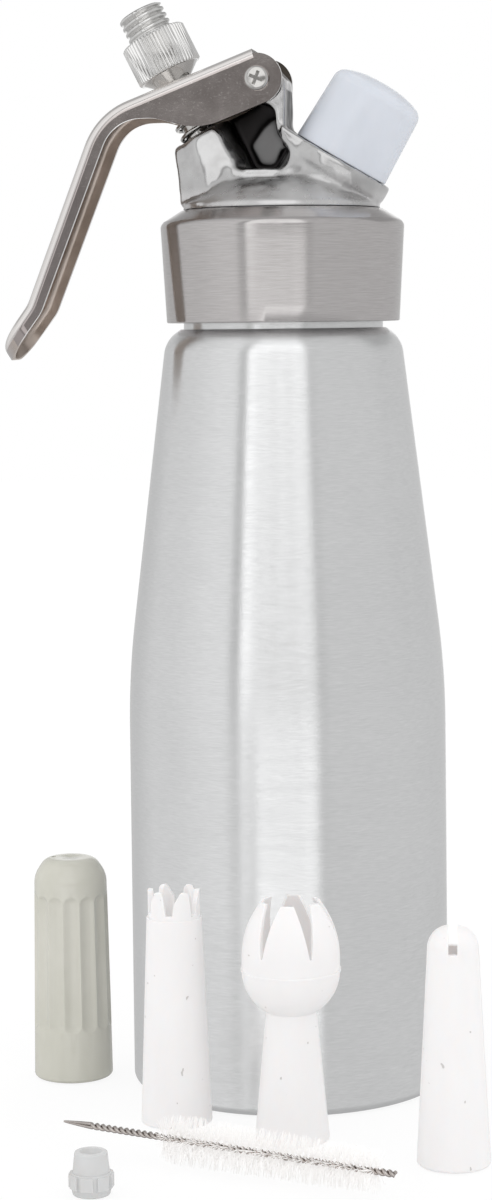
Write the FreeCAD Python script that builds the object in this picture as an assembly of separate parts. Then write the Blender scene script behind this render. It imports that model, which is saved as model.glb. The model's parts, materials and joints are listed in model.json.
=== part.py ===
"""Whipped cream dispenser, 1 litre, with charger holder, decorating nozzles and cleaning brush.

Millimetres. The origin is the centre of the bottle's flat base and +Z is up. The lever hangs
over the -X side and the charger connection leans towards +X. Everything on the valve is built
along +Z at the top of the valve boss and then tilted onto the valve axis. Everything on the
charger connection is built the same way on its sloped face.
"""
import FreeCAD
import Part
import math
import os

# ---------------------------------------------------------------- driving dimensions
# bottle
bottle_r = 47.15
bottle_wall = 1.2
bottle_base_edge_r = 2.5
bottle_bend_z = 122.5          # where the straight wall turns into the cone
bottle_bend_r = 46.85
bottle_bend_blend = 260.0
shoulder_r = 34.6              # end of the cone
shoulder_z = 220.4
shoulder_blend = 9.0
neck_foot_z = 223.5
neck_foot_r = 30.2
neck_r = 29.2
neck_wall = 2.0
neck_top_z = 246.0
mouth_edge_r = 0.7

# head casting: collar, groove, dome
collar_low_z = 225.3
collar_low_r = 34.1
collar_top_z = neck_top_z + 8.0
collar_top_r = 35.65
collar_blend = 2.4
collar_ridge_r = 29.6
collar_ridge_z = neck_top_z + 11.8
groove_r = 27.4
groove_z = neck_top_z + 12.1
dome_r = 28.6
dome_edge_z = neck_top_z + 13.2
dome_top_r = 19.2
dome_top_z = neck_top_z + 20.4
dome_shoulder_drop = 2.0
cavity_r = 23.5
cavity_top_z = neck_top_z + 14.6
cavity_wall_z = neck_top_z + 8.5
cavity_top_r = 15.5
gasket_height = 2.0
gasket_r = 28.8

# valve axis
valve_tilt = 26.6              # degrees from vertical, towards -X
valve_x = -23.5                # centre of the boss's top face
valve_z = dome_top_z + 13.7
boss_length = 20.0
boss_top = (-8.3, -1.3, 4.6, 9.7)        # left, front facet's two corners, right
boss_foot = (-15.4, -5.8, 6.4, 9.7)
boss_half_y = 9.0
boss_draft_y = 0.18
boss_edge_blend = 1.6
octagon_cut = 0.414
spring_seat_depth = 3.0
bush_r = 6.5
bush_length = 11.0
oring_cord = 1.85
seat_depth = 25.0              # valve seat below the boss's top face
port_chamber_r = 6.0
valve_tower_r = 9.8            # boss inside the head that ends in the valve seat
stem_r = 4.6
stem_upper_r = 4.0
stem_bore_r = 2.6
port_r = 1.4
seal_r = 8.0
seal_thickness = 2.0
valve_head_r = 8.2
valve_head_thickness = 2.5
valve_pocket_r = 9.2           # room for the valve head's travel
valve_pocket_depth = 7.0
spring_wire = 1.2
spring_r = 5.8                 # coil centre radius
spring_turns = 5.5
spring_runs_per_turn = 8
washer_r = 6.4
washer_thickness = 1.0
cone_low_r = 5.0
cone_top_r = 8.7
cone_height = 3.05
knurl_r = 9.8
knurl_length = 11.9
knurl_chamfer = 0.6
nozzle_thread_r = 6.8
nozzle_thread_length = 8.0
nozzle_thread_chamfer = 0.6
outlet_r = 3.6
stem_stop_below_outlet = 4.0

# lever and pivot
pivot_x = -5.3
pivot_z = dome_top_z + 28.6
lever_width = 23.0
lever_sheet = 1.4
lever_corner_r = 3.0
ear_r = 7.2
web_angle = 20.8               # the web falls this much from level towards the bend
web_height = 8.75              # web's outer face above the pivot
web_start = 1.3
arm_length = 47.8              # pivot to bend
bend_angle = 47.8
bend_r = 22.0
handle_length = 59.0
flare_angle = 14.8
flare_r = 12.0
flare_length = 15.6
tip_corner_r = 10.8
tip_draft = 22.0               # how far the end flange leans out
flange_at_bend = 5.6
flange_at_flare = 5.1
flange_at_tip = 5.3
belly_place = 21.1             # lowest point of the flange, along the arm
belly_r = 20.0
waist_place = 32.0
waist_height = 0.9
waist_r = 12.0
pivot_sleeve_r = 3.0
pivot_head_r = 4.6
pivot_head_thickness = 2.0
screw_r = 1.9
screw_head_r = 3.6
screw_head_thickness = 2.2

# pivot lug, bridge and charger boss
lug_half = 9.6
lug_eye_r = 5.6
bridge_half = 12.6
pocket_floor_z = dome_top_z + 3.0
bridge_left_x = -14.0
bridge_corner = -18.4          # along the sloped face, from its centre
bridge_end = -2.0
bridge_notch = [               # (x, height above the dome's top, corner radius)
    (2.4, 3.0, 1.2), (4.4, 8.2, 2.5), (0.9, 11.1, 2.0),
]
lug_outline = [                # (x, z, corner radius) from the pivot
    (7.8, -15.6, 0), (7.8, -0.5, 1.5), (4.0, 3.7, 1.2), (0, 5.6, 0), (-5.6, 0, 0), (-1.0, -5.8, 1.0),
    (4.7, -8.1, 3.0), (4.9, -14.6, 3.0), (6.7, -17.8, 0), (10.8, -19.6, 0), (10.8, -17.0, 0),
]
rib_half = 3.0
rib_outline = [                # (x, height above the dome's top, corner radius)
    (-8.4, 10.0, 0.8), (-6.1, 4.5, 1.6), (-1.6, 4.2, 1.6), (1.4, 9.6, 0), (1.4, 17.6, 0),
    (-2.6, 17.6, 2.0), (-5.6, 14.6, 2.0),
]
web_half = 2.0
web_outline = [                # (x, height above the dome's top, corner radius)
    (-9.0, 2.0, 0), (-16.2, 17.0, 0), (-12.0, 19.2, 0), (-4.4, 22.8, 0), (0.2, 20.6, 0), (0.2, 2.0, 0),
]
charger_tilt = 31.0            # degrees from vertical, towards +X
charger_x = 17.45              # centre of the sloped face
charger_z = dome_top_z + 5.7
charger_boss_r = 14.7
charger_flange_r = 16.6
charger_flange_thickness = 5.0
charger_tower_r = 9.0          # boss inside the head round the charger stud
charger_tower_depth = 17.0
spigot_r = 7.0
spigot_length = 12.0
stud_flange_r = 11.0
stud_flange_thickness = 2.0
stud_thread_r = 9.0
stud_height = 13.0
stud_recess_r = 5.0
stud_recess_depth = 6.0
gas_passage_r = 1.5
pin_r = 2.5
pin_tip_r = 0.7
pin_height = 4.5
pin_bore_r = 0.4
pin_gasket_thickness = 1.5
check_valve_r = 4.5
check_valve_thickness = 1.5

# charger cap
cap_base_r = 14.65
cap_shoulder_r = 14.0
cap_shoulder_height = 19.5
cap_rim_r = 9.6
cap_rim_height = 23.0
cap_height = 24.9
cap_wall = 1.6
cap_edge_blend = 3.2
cap_sleeve_wall = 1.5

# charger holder
holder_height = 66.5
holder_base_r = 11.8
holder_top_r = 10.8
holder_dome_height = 5.0
holder_dome_blend = 4.0
holder_base_edge = 1.2
holder_bore_r = 9.3
holder_bore_depth = 62.5
flute_count = 14
flute_r = 2.6
flute_depth = 0.75
flute_low_z = 17.0
flute_high_z = 54.0
vent_r = 0.8
vent_offset = 5.0

# decorating nozzles
nozzle_wall = 1.5
socket_r = 7.1
socket_depth = 13.0
crown_height = 67.0
crown_base_r = 10.1
crown_step_z = 58.9
crown_step_r = 7.8
crown_step = 0.45
prong_count = 6
prong_foot = 1.4               # above the step
prong_gap = 1.9
crown_turn = -1.2              # of the first gap
tulip_height = 66.9
tulip_base_r = 10.4
tulip_neck_r = 7.0
tulip_bulb_r = 13.6
tulip_bulb_z = 47.8            # widest
tulip_shoulder_rise = 10.7
tulip_shoulder_blend = 26.0
tulip_mouth_r = 8.4
tulip_seam = 0.25
tulip_notch_count = 6
tulip_notch_low_z = 53.0
tulip_notch_half = 2.6
tulip_turn = -148.0            # of the first notch
slot_height = 65.0
slot_base_r = 10.0
slot_top_r = 6.6
slot_width = 2.4
slot_depth = 6.7
slot_turn = 4.6

# tip cap
tip_cap_height = 11.4
tip_cap_base_r = 5.75
tip_cap_foot_r = 4.9
tip_cap_skirt_z = 6.0
tip_cap_low_r = 4.9
tip_cap_top_r = 4.3
tip_cap_bore_r = 3.4
tip_cap_dish_r = 3.1
tip_cap_dish_depth = 2.0
tip_cap_floor = 1.2
tip_cap_lugs = 8
tip_cap_lug_width = 3.2
tip_cap_lug_low_z = 2.0

# cleaning brush
brush_length = 102.5
wire_r = 1.5
bristle_r = 7.2
bristle_end_r = 6.2
bristle_start = 31.5           # from the wire's bare end
bristle_length = 66.5

# places of the pieces that stand beside the bottle, (x, y)
holder_place = (-65.2, -7.9)
crown_place = (-25.5, -52.0)
tulip_place = (9.5, -65.1)
slot_place = (55.7, -82.5)
tip_cap_place = (-35.8, -119.5)
brush_start = (-52.2, -80.4)
brush_heading = -20.7

# clearances
running_fit = 0.05
thread_gap = 0.3
axial_play = 0.3
face_gap = 0.05
rock_gap = 0.15                # between the rocking web and what it pushes on


# ---------------------------------------------------------------- geometry helpers
def vec(x, y, z):
    return FreeCAD.Vector(x, y, z)


def toward(angle, length):
    """A step in the X-Z plane, angle in degrees from +X towards +Z."""
    return (length * math.cos(math.radians(angle)), length * math.sin(math.radians(angle)))


def moved(point, step):
    return (point[0] + step[0], point[1] + step[1])


def rounded_face(corners):
    """Face in the X-Z plane from (x, z, corner radius) corners."""
    count = len(corners)
    arcs = []
    for i in range(count):
        before = corners[i - 1]
        here = corners[i]
        after = corners[(i + 1) % count]
        point = vec(here[0], 0, here[1])
        if here[2] == 0:
            arcs.append((point, None, point))
            continue
        back = (vec(before[0], 0, before[1]) - point).normalize()
        ahead = (vec(after[0], 0, after[1]) - point).normalize()
        half = back.getAngle(ahead) / 2
        reach = here[2] / math.tan(half)
        bisector = (back + ahead).normalize()
        middle = point + bisector * (here[2] / math.sin(half) - here[2])
        arcs.append((point + back * reach, middle, point + ahead * reach))
    edges = []
    for i in range(count):
        first, middle, last = arcs[i]
        if middle is not None:
            edges.append(Part.Arc(first, middle, last).toShape())
        following = arcs[(i + 1) % count][0]
        if last.distanceToPoint(following) > 1e-4:
            edges.append(Part.LineSegment(last, following).toShape())
    return Part.Face(Part.Wire(edges))


def revolved(corners):
    """Solid of revolution about Z from a profile of (radius, z, corner radius)."""
    return rounded_face(corners).revolve(vec(0, 0, 0), vec(0, 0, 1), 360)


def prism(corners, half_width):
    """Solid with an X-Z outline, from -half_width to +half_width in Y."""
    face = rounded_face(corners)
    face.translate(vec(0, -half_width, 0))
    return face.extrude(vec(0, 2 * half_width, 0))


def rod(radius, low, high):
    return Part.makeCylinder(radius, high - low, vec(0, 0, low))


def ring(outer, inner, low, high):
    return rod(outer, low, high).cut(rod(inner, low - 1, high + 1))


def cone(low_r, high_r, low, high):
    return Part.makeCone(low_r, high_r, high - low, vec(0, 0, low))


def on_valve(shape):
    """Tilts a shape built along +Z onto the valve axis."""
    placed = shape.copy()
    placed.rotate(vec(0, 0, 0), vec(0, 1, 0), -valve_tilt)
    placed.translate(vec(valve_x, 0, valve_z))
    return placed


def on_charger(shape):
    """Tilts a shape built along +Z onto the charger axis."""
    placed = shape.copy()
    placed.rotate(vec(0, 0, 0), vec(0, 1, 0), charger_tilt)
    placed.translate(vec(charger_x, 0, charger_z))
    return placed


def stood(shape, place):
    placed = shape.copy()
    placed.translate(vec(place[0], place[1], 0))
    return placed


def around(shape, count, start=0.0):
    """Copies of a shape turned evenly about Z, as one compound."""
    copies = []
    for i in range(count):
        copy = shape.copy()
        copy.rotate(vec(0, 0, 0), vec(0, 0, 1), start + 360.0 * i / count)
        copies.append(copy)
    return Part.makeCompound(copies)


# ---------------------------------------------------------------- places along the valve axis
# Heights are above the boss's top face. The web crosses the axis at web_top.
def web_crossing():
    normal = web_angle + 90
    along = math.radians(valve_tilt)
    axis = (-math.sin(along), math.cos(along))
    across = toward(normal, 1.0)
    start = (valve_x - pivot_x, valve_z - pivot_z)
    offset = start[0] * across[0] + start[1] * across[1]
    return (web_height - offset) / (axis[0] * across[0] + axis[1] * across[1])


web_lean = math.tan(math.radians(valve_tilt - web_angle))
web_top = web_crossing()
cone_low = web_top + cone_low_r * web_lean + rock_gap
knurl_low = cone_low + cone_height
knurl_high = knurl_low + knurl_length
thread_high = knurl_high + nozzle_thread_length
washer_high = web_top - lever_sheet - washer_r * web_lean - rock_gap
washer_low = washer_high - washer_thickness
spring_low = -spring_seat_depth
bush_high = spring_low - spring_wire / 2
bush_low = bush_high - bush_length
oring_low = bush_low - oring_cord - 0.3
seat_low = -seat_depth
seal_low = seat_low - face_gap - seal_thickness
valve_head_low = seal_low - valve_head_thickness
stem_top = thread_high - stem_stop_below_outlet


# ---------------------------------------------------------------- bottle
def make_bottle():
    outer = revolved([
        (0, 0, 0),
        (bottle_r, 0, bottle_base_edge_r),
        (bottle_bend_r, bottle_bend_z, bottle_bend_blend),
        (shoulder_r, shoulder_z, shoulder_blend),
        (neck_foot_r, neck_foot_z, 0),
        (neck_r, neck_foot_z, 0),
        (neck_r, neck_top_z, mouth_edge_r),
        (0, neck_top_z, 0),
    ])
    wall = bottle_wall
    neck_bore = neck_r - neck_wall
    inner = revolved([
        (0, wall, 0),
        (bottle_r - wall, wall, bottle_base_edge_r - wall),
        (bottle_bend_r - wall, bottle_bend_z, bottle_bend_blend),
        (shoulder_r - wall, shoulder_z - wall, shoulder_blend - wall),
        (neck_bore, neck_foot_z - wall, 0),
        (neck_bore, neck_top_z + 1, 0),
        (0, neck_top_z + 1, 0),
    ])
    return outer.cut(inner)


# ---------------------------------------------------------------- head casting
def octagon(across, half_y, z):
    left, facet_left, facet_right, right = across
    k = octagon_cut
    points = [
        (right, -k * half_y), (right, k * half_y), (facet_right, half_y), (facet_left, half_y),
        (left, k * half_y), (left, -k * half_y), (facet_left, -half_y), (facet_right, -half_y),
    ]
    corners = [vec(x, y, z) for x, y in points]
    return Part.makePolygon(corners + [corners[0]])


def make_valve_boss():
    """Eight-sided tower that leans on the valve axis, wider at its foot on the lever's side."""
    foot_y = boss_half_y + boss_draft_y * boss_length
    top = octagon(boss_top, boss_half_y, 0)
    foot = octagon(boss_foot, foot_y, -boss_length)
    tower = Part.makeLoft([foot, top], True, True)
    rim = [e for e in tower.Edges if all(abs(v.Z) < 1e-4 for v in e.Vertexes)]
    return on_valve(tower.makeFillet(boss_edge_blend, rim))


def shifted(outline, place):
    return [(place[0] + x, place[1] + z, radius) for x, z, radius in outline]


def make_bridge():
    """Block between the valve boss and the charger boss, with the lug's foot on its corner."""
    slope = -charger_tilt
    corner = moved((charger_x, charger_z), toward(slope, bridge_corner))
    end = moved((charger_x, charger_z), toward(slope, bridge_end))
    foot_z = dome_top_z - dome_shoulder_drop
    return prism([
        (bridge_left_x, foot_z, 0),
        (bridge_left_x, pocket_floor_z, 0),
        *shifted(bridge_notch, (0, dome_top_z)),
        (*corner, 0),
        (*end, 0),
        (end[0] - 6.0, foot_z, 0),
    ], bridge_half)


def make_lug():
    """Curved arm that rises from the bridge and carries the pivot between the lever's ears."""
    arm = prism(shifted(lug_outline, (pivot_x, pivot_z)), lug_half)
    eye = Part.makeCylinder(lug_eye_r, 2 * lug_half, vec(pivot_x, -lug_half, pivot_z), vec(0, 1, 0))
    return arm.fuse(eye)


def make_pocket_rib():
    """Tongue of the casting in the middle of the pocket."""
    return prism(shifted(rib_outline, (0, dome_top_z)), rib_half)


def make_pocket_web():
    """Thin wall that closes the pocket between the valve boss and the lug."""
    return prism(shifted(web_outline, (0, dome_top_z)), web_half)


def make_head_casting():
    neck_bore = neck_r + thread_gap
    seat_z = neck_top_z + gasket_height
    shell = revolved([
        (neck_bore, collar_low_z, 0.4),
        (collar_low_r, collar_low_z, 0.5),
        (collar_top_r, collar_top_z, collar_blend),
        (collar_ridge_r, collar_ridge_z, 0.6),
        (groove_r, groove_z, 0.2),
        (dome_r, dome_edge_z, 0.5),
        (dome_top_r + 2.2, dome_top_z - dome_shoulder_drop, 3.0),
        (dome_top_r - 2.0, dome_top_z, 3.0),
        (0, dome_top_z, 0),
        (0, cavity_top_z, 0),
        (cavity_top_r, cavity_top_z - 0.6, 2.0),
        (cavity_r, cavity_wall_z, 1.5),
        (cavity_r, seat_z, 0),
        (neck_bore, seat_z, 0),
    ])
    boss_cylinder = on_charger(rod(charger_boss_r, -15.0, -charger_flange_thickness))
    inside_dome = rod(dome_r - 0.3, groove_z + 2.0, dome_top_z + 20)
    above_edge = rod(2 * dome_r, dome_edge_z - 0.3, dome_edge_z + 60)
    outside = [
        make_valve_boss().common(above_edge),
        make_bridge(),
        make_lug(),
        make_pocket_rib(),
        make_pocket_web(),
        boss_cylinder.common(inside_dome),
        on_charger(rod(charger_flange_r, -charger_flange_thickness, 0)),
    ]
    cavity = revolved([
        (0, seat_z - 1, 0),
        (cavity_r, seat_z - 1, 0),
        (cavity_r, cavity_wall_z, 1.5),
        (cavity_top_r, cavity_top_z - 0.6, 2.0),
        (0, cavity_top_z, 0),
    ])
    body = shell
    for piece in outside:
        body = body.fuse(piece.cut(cavity))
    body = body.fuse(on_valve(rod(valve_tower_r, seat_low, -boss_length + 2)))
    body = body.fuse(on_charger(rod(charger_tower_r, -charger_tower_depth, -6.0)))
    bores = [
        on_valve(rod(spring_r + spring_wire / 2 + 0.5, spring_low, 5)),
        on_valve(rod(bush_r + 0.02, oring_low, 1)),
        on_valve(rod(port_chamber_r, seat_low - 1, 1)),
        on_valve(rod(valve_pocket_r, seat_low - valve_pocket_depth, seat_low)),
        on_charger(rod(spigot_r + running_fit, -spigot_length - check_valve_thickness, 1)),
        on_charger(rod(gas_passage_r, -charger_tower_depth - 1, 1)),
        Part.makeCylinder(
            pivot_sleeve_r + running_fit, 4 * lug_half, vec(pivot_x, -2 * lug_half, pivot_z), vec(0, 1, 0)
        ),
    ]
    for bore in bores:
        body = body.cut(bore)
    return body.removeSplitter()


def make_head_gasket():
    return ring(gasket_r, cavity_r + 0.3, neck_top_z, neck_top_z + gasket_height)


def make_gland_bush():
    return on_valve(ring(bush_r, stem_r + running_fit, bush_low, bush_high))


def make_stem_oring():
    centre_r = stem_r + running_fit + oring_cord / 2
    return on_valve(Part.makeTorus(centre_r, oring_cord / 2, vec(0, 0, oring_low + oring_cord / 2)))


# ---------------------------------------------------------------- valve
def make_valve_stem():
    """Hollow stem. Cream enters its ports when the lever pushes the valve head off the seat."""
    stem = rod(stem_r, valve_head_low, washer_low)
    stem = stem.fuse(rod(stem_upper_r, washer_low, stem_top))
    stem = stem.fuse(rod(valve_head_r, valve_head_low, seal_low))
    stem = stem.cut(rod(stem_bore_r, seal_low + 1.0, stem_top + 1))
    port = Part.makeCylinder(port_r, 4 * stem_r, vec(-2 * stem_r, 0, seat_low + 2.2), vec(1, 0, 0))
    turned = port.copy()
    turned.rotate(vec(0, 0, 0), vec(0, 0, 1), 90)
    return on_valve(stem.cut(port).cut(turned))


def make_valve_seal():
    return on_valve(ring(seal_r, stem_r + 0.01, seal_low, seal_low + seal_thickness))


def make_valve_spring():
    """Closed coil between the boss and the washer, swept along short runs of its helix."""
    low = spring_low + spring_wire / 2 + face_gap
    high = washer_low - spring_wire / 2 - face_gap
    runs = round(spring_turns * spring_runs_per_turn)
    helix = []
    for i in range(runs + 1):
        turn = 2 * math.pi * i / spring_runs_per_turn
        helix.append(vec(spring_r * math.cos(turn), spring_r * math.sin(turn), low + (high - low) * i / runs))
    section = Part.Wire(Part.makeCircle(spring_wire / 2, helix[0], helix[1] - helix[0]))
    coil = Part.makePolygon(helix).makePipeShell([section], True, True, 1)
    return on_valve(coil)


def make_spring_washer():
    return on_valve(ring(washer_r, stem_upper_r + running_fit, washer_low, washer_high))


def make_adapter_cone():
    body = cone(cone_low_r, cone_top_r, cone_low, knurl_low)
    return on_valve(body.cut(rod(stem_upper_r + running_fit, cone_low - 1, knurl_low + 1)))


def make_nozzle_adapter():
    """Knurled grip with the male thread that every decorating nozzle screws onto."""
    grip = revolved([
        (0, knurl_low, 0),
        (knurl_r - knurl_chamfer, knurl_low, 0),
        (knurl_r, knurl_low + knurl_chamfer, 0),
        (knurl_r, knurl_high - knurl_chamfer, 0),
        (knurl_r - knurl_chamfer, knurl_high, 0),
        (nozzle_thread_r, knurl_high, 0),
        (nozzle_thread_r, thread_high - nozzle_thread_chamfer, 0),
        (nozzle_thread_r - nozzle_thread_chamfer, thread_high, 0),
        (0, thread_high, 0),
    ])
    grip = grip.cut(rod(stem_upper_r + running_fit, knurl_low - 1, stem_top))
    return on_valve(grip.cut(rod(outlet_r, stem_top - 1, thread_high + 1)))


# ---------------------------------------------------------------- lever and its pivot
def end_wall(length):
    """A step down the flange round the lever's free end."""
    return toward(180 + web_angle + bend_angle - flare_angle + 90 - tip_draft, length)


def lever_path(inset):
    """Bend, flare and tip of the web's outer face, moved inwards by inset."""
    pivot = (pivot_x, pivot_z)
    web = 180 + web_angle
    handle = web + bend_angle
    tip = handle - flare_angle
    start = moved(pivot, toward(web - 90, web_height))
    bend = moved(start, toward(web, arm_length))
    flare = moved(bend, toward(handle, handle_length))
    end = moved(flare, toward(tip, flare_length))
    at_bend = toward(web + bend_angle / 2 + 90, inset / math.cos(math.radians(bend_angle / 2)))
    at_flare = toward(handle - flare_angle / 2 + 90, inset / math.cos(math.radians(flare_angle / 2)))
    lean = math.radians(tip_draft)
    at_end = moved(toward(tip + 90, inset), toward(tip, inset * (math.tan(lean) - 1 / math.cos(lean))))
    return moved(bend, at_bend), moved(flare, at_flare), moved(end, at_end)


def make_lever():
    """Pressed channel: two ears on the pivot, a slotted web over the valve, then the handle."""
    pivot = (pivot_x, pivot_z)
    web = 180 + web_angle
    handle = web + bend_angle
    up = toward(web - 90, 1.0)

    def arm(place, height):
        along = toward(web, place)
        return (pivot[0] + along[0] + up[0] * height, pivot[1] + along[1] + up[1] * height)

    bend, flare, end = lever_path(0.0)
    outline = [
        (*arm(-web_start, web_height), 0),
        (*bend, bend_r),
        (*flare, flare_r),
        (*end, 0),
        (*moved(end, end_wall(flange_at_tip)), 1.0),
        (*moved(flare, toward(handle + 83, flange_at_flare)), flare_r),
        (*moved(bend, toward(handle + 92, flange_at_bend)), 12.0),
        (*arm(waist_place, waist_height), waist_r),
        (*arm(belly_place, -ear_r), belly_r),
        (*arm(-web_start, -ear_r), 0),
    ]
    solid = prism(outline, lever_width / 2).cut(tip_corners(0.0))
    ear = Part.makeCylinder(
        ear_r, lever_width, vec(pivot_x, -lever_width / 2, pivot_z), vec(0, 1, 0)
    )
    ear = ear.cut(prism([
        (*arm(-web_start, web_height - lever_corner_r), 0),
        (*arm(2 * ear_r, web_height - lever_corner_r), 0),
        (*arm(2 * ear_r, 2 * ear_r), 0),
        (*arm(-web_start, 2 * ear_r), 0),
    ], lever_width))
    bend_in, flare_in, end_in = lever_path(lever_sheet)
    past_rim = moved(end_in, end_wall(4 * flange_at_tip))
    inside = prism([
        (*arm(-30, web_height - lever_sheet), 0),
        (*bend_in, bend_r - lever_sheet),
        (*flare_in, flare_r - lever_sheet),
        (*end_in, 0),
        (*past_rim, 0),
        (30, past_rim[1], 0),
    ], lever_width / 2 - lever_sheet).cut(tip_corners(lever_sheet))
    solid = rounded_along_web(solid, lever_width / 2, 0.0, lever_corner_r)
    inside = rounded_along_web(inside, lever_width / 2 - lever_sheet, lever_sheet,
                               lever_corner_r - lever_sheet)
    solid = solid.fuse(ear).cut(inside)
    slot_start = web_slot_centre()
    slot_r = stem_upper_r + 0.45
    slot_reach = 1.1
    slot = rod(slot_r, -6, 6).fuse(stood(rod(slot_r, -6, 6), (-2 * slot_reach, 0)))
    slot = slot.fuse(Part.makeBox(2 * slot_reach, 2 * slot_r, 12, vec(-2 * slot_reach, -slot_r, -6)))
    slot.translate(vec(slot_reach, 0, 0))
    slot.rotate(vec(0, 0, 0), vec(0, 1, 0), -web_angle)
    slot.translate(vec(slot_start[0], 0, slot_start[1]))
    hole = Part.makeCylinder(
        pivot_sleeve_r + running_fit, 2 * lever_width, vec(pivot_x, -lever_width, pivot_z), vec(0, 1, 0)
    )
    return solid.cut(slot).cut(hole)


def rounded_along_web(solid, half_width, inset, radius):
    """Rounds the long edges where the web turns into the flanges, and the edge round its free end."""
    bend, flare, end = lever_path(inset)
    web = 180 + web_angle
    handle = web + bend_angle
    tip = handle - flare_angle
    to_centre = (bend_r - inset) / math.cos(math.radians(bend_angle / 2))
    centre = moved(bend, toward(web + bend_angle / 2 + 90, to_centre))

    def off_line(point, start, angle):
        across = toward(angle + 90, 1)
        return abs((point.x - start[0]) * across[0] + (point.z - start[1]) * across[1])

    edges = []
    for edge in solid.Edges:
        middle = edge.valueAt((edge.FirstParameter + edge.LastParameter) / 2)
        points = [v.Point for v in edge.Vertexes] + [middle]
        if all(abs(abs(p.y) - half_width) < 1e-4 for p in points):
            on_line = edge.Length > 3 and any(
                off_line(middle, start, angle) < 1e-3
                for start, angle in ((bend, web), (bend, handle), (flare, tip))
            )
            from_centre = math.hypot(middle.x - centre[0], middle.z - centre[1])
            on_bend = abs(from_centre - (bend_r - inset)) < 1e-3
            near_flare = math.hypot(middle.x - flare[0], middle.z - flare[1]) < 0.5
            if on_line or on_bend or near_flare:
                edges.append(edge)
        elif all(off_line(p, end, tip) < 1e-3 for p in points):
            if min(abs(v.Point.y) for v in edge.Vertexes) < half_width - 1e-3:
                edges.append(edge)
    return solid.makeFillet(radius, edges)


def web_slot_centre():
    """Middle of the stem's way along the web's mid-surface, from rest to full squeeze."""
    along = math.radians(valve_tilt)
    point = (valve_x - math.sin(along) * web_top, valve_z + math.cos(along) * web_top)
    return moved(point, toward(web_angle, 0.8))


def tip_corners(inset):
    """What is cut away to round the lever's free end, along the flange that closes it."""
    end = lever_path(inset)[2]
    radius = tip_corner_r - inset
    corner = Part.makeBox(2 * radius, 2 * radius, 40, vec(0, 0, -20)).cut(rod(radius, -21, 21))
    corner.translate(vec(-radius, lever_width / 2 - inset - radius, 0))
    cutter = Part.makeCompound([corner, corner.mirror(vec(0, 0, 0), vec(0, 1, 0))])
    cutter.rotate(vec(0, 0, 0), vec(0, 1, 0), tip_draft - 180 - web_angle - bend_angle + flare_angle)
    cutter.translate(vec(end[0], 0, end[1]))
    return cutter


def make_pivot_sleeve():
    """Sleeve nut through both ears and the lug, with its head on the far side."""
    reach = lever_width / 2 + axial_play
    sleeve = Part.makeCylinder(pivot_sleeve_r, 2 * reach, vec(0, -reach, 0), vec(0, 1, 0))
    head = Part.makeCylinder(pivot_head_r, pivot_head_thickness, vec(0, reach, 0), vec(0, 1, 0))
    bore = Part.makeCylinder(screw_r + running_fit, 1.6 * reach, vec(0, -reach - 1, 0), vec(0, 1, 0))
    sleeve = sleeve.fuse(head).cut(bore)
    sleeve.translate(vec(pivot_x, 0, pivot_z))
    return sleeve


def make_pivot_screw():
    """Pan-head screw driven into the sleeve from the near side."""
    reach = lever_width / 2 + axial_play
    shank = Part.makeCylinder(screw_r, 1.2 * reach, vec(0, -reach, 0), vec(0, 1, 0))
    head = Part.makeCylinder(screw_head_r, screw_head_thickness, vec(0, -reach, 0), vec(0, -1, 0))
    rim = [e for e in head.Edges if abs(e.BoundBox.YMin + reach + screw_head_thickness) < 1e-4
           and e.BoundBox.YLength < 1e-4 and len(e.Vertexes) == 1]
    head = head.makeFillet(screw_head_thickness * 0.6, rim)
    screw = shank.fuse(head)
    screw.translate(vec(pivot_x, 0, pivot_z))
    return screw


# ---------------------------------------------------------------- charger connection
def make_charger_stud():
    stud = rod(spigot_r, -spigot_length, 0)
    stud = stud.fuse(rod(stud_flange_r, 0, stud_flange_thickness))
    stud = stud.fuse(rod(stud_thread_r, 0, stud_height))
    stud = stud.cut(rod(stud_recess_r, stud_height - stud_recess_depth, stud_height + 1))
    socket_low = stud_height - stud_recess_depth - 3.0
    stud = stud.cut(rod(pin_r + 0.02, socket_low, stud_height))
    return on_charger(stud.cut(rod(gas_passage_r, -spigot_length - 1, stud_height)))


def make_piercing_pin():
    low = stud_height - stud_recess_depth - 3.0
    neck = stud_height - stud_recess_depth
    pin = rod(pin_r, low, neck + 1.0)
    pin = pin.fuse(cone(pin_r, pin_tip_r, neck + 1.0, neck + pin_height))
    return on_charger(pin.cut(rod(pin_bore_r, low - 1, neck + pin_height + 1)))


def make_pin_gasket():
    low = stud_height - stud_recess_depth
    return on_charger(ring(stud_recess_r - 0.05, pin_r + 0.05, low, low + pin_gasket_thickness))


def make_check_valve():
    high = -spigot_length
    return on_charger(rod(check_valve_r, high - check_valve_thickness, high))


def make_charger_cap():
    """Domed cap: outer skirt over the flange and an inner sleeve that grips the stud's thread."""
    wall = cap_wall
    outer = revolved([
        (0, face_gap, 0),
        (cap_base_r, face_gap, 0.4),
        (cap_shoulder_r, cap_shoulder_height, cap_edge_blend),
        (cap_rim_r, cap_rim_height, 3.0),
        (0, cap_height, 0),
    ])
    sleeve_bore = stud_thread_r + thread_gap
    sleeve_r = sleeve_bore + cap_sleeve_wall
    roof = cap_rim_height - wall - 0.6
    inner = revolved([
        (sleeve_r, face_gap - 1, 0),
        (cap_base_r - wall, face_gap - 1, 0),
        (cap_shoulder_r - wall, cap_shoulder_height - 1.5, 1.0),
        (sleeve_r, roof - 3.0, 0.5),
    ])
    mouth = rod(sleeve_r + 0.5, face_gap - 1, stud_flange_thickness + thread_gap)
    bore = rod(sleeve_bore, 0, roof)
    return on_charger(outer.cut(inner).cut(mouth).cut(bore))


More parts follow.
